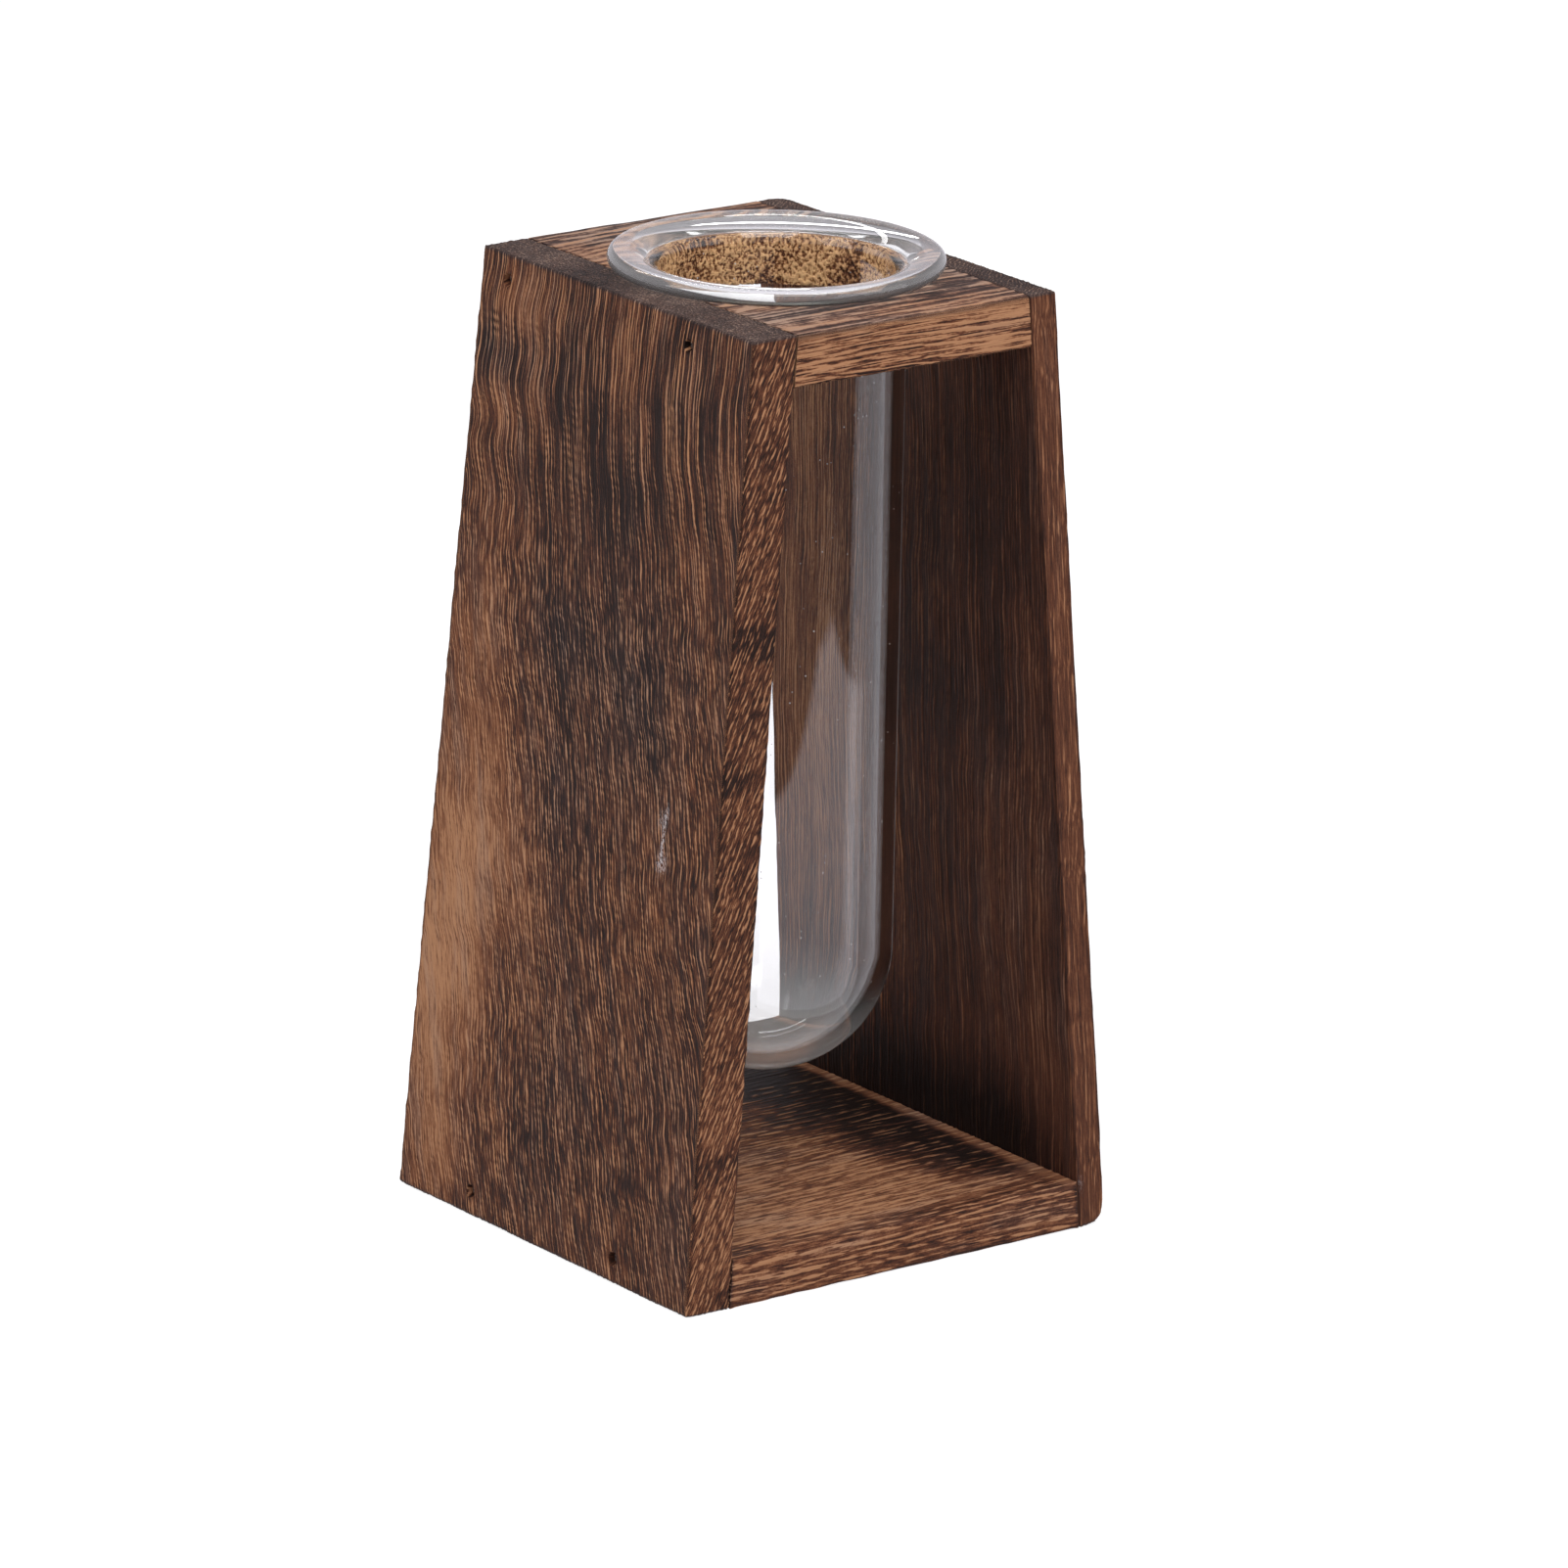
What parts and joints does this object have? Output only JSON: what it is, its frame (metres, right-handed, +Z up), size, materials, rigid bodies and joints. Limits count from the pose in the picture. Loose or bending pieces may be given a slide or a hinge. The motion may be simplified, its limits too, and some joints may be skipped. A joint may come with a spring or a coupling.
{
  "type": "test tube vase",
  "caption": "Glass test tube vase that hangs by its rolled rim in a tapered stand of torched wooden boards.",
  "frame": {"origin": "middle of the stand's footprint, on the surface that it rests on", "axes": "+Z up along the tube's length, -Y towards the open front, +X to the right seen from the front"},
  "size_m": [0.0927, 0.088, 0.176],
  "materials": {
    "torched_wood": "scorched and brushed open grain, unvarnished, matt",
    "clear_glass": "clear blown glass, fire polished, faintly green in the thick rim",
    "brad_steel": "plain steel wire, darkened by the torch"
  },
  "bodies": {
    "stand": {"left_side_board": "torched_wood", "right_side_board": "torched_wood", "top_board": "torched_wood", "bottom_board": "torched_wood", "left_top_brads": "brad_steel", "left_bottom_brads": "brad_steel", "right_top_brads": "brad_steel", "right_bottom_brads": "brad_steel"},
    "tube": {"glass_tube": "clear_glass"}
  },
  "joints": [
    {"name": "tube_lift", "type": "slide", "parent": "stand", "child": "tube", "axis": [0, 0, 1], "range_m": [0, 0.155]}
  ]
}
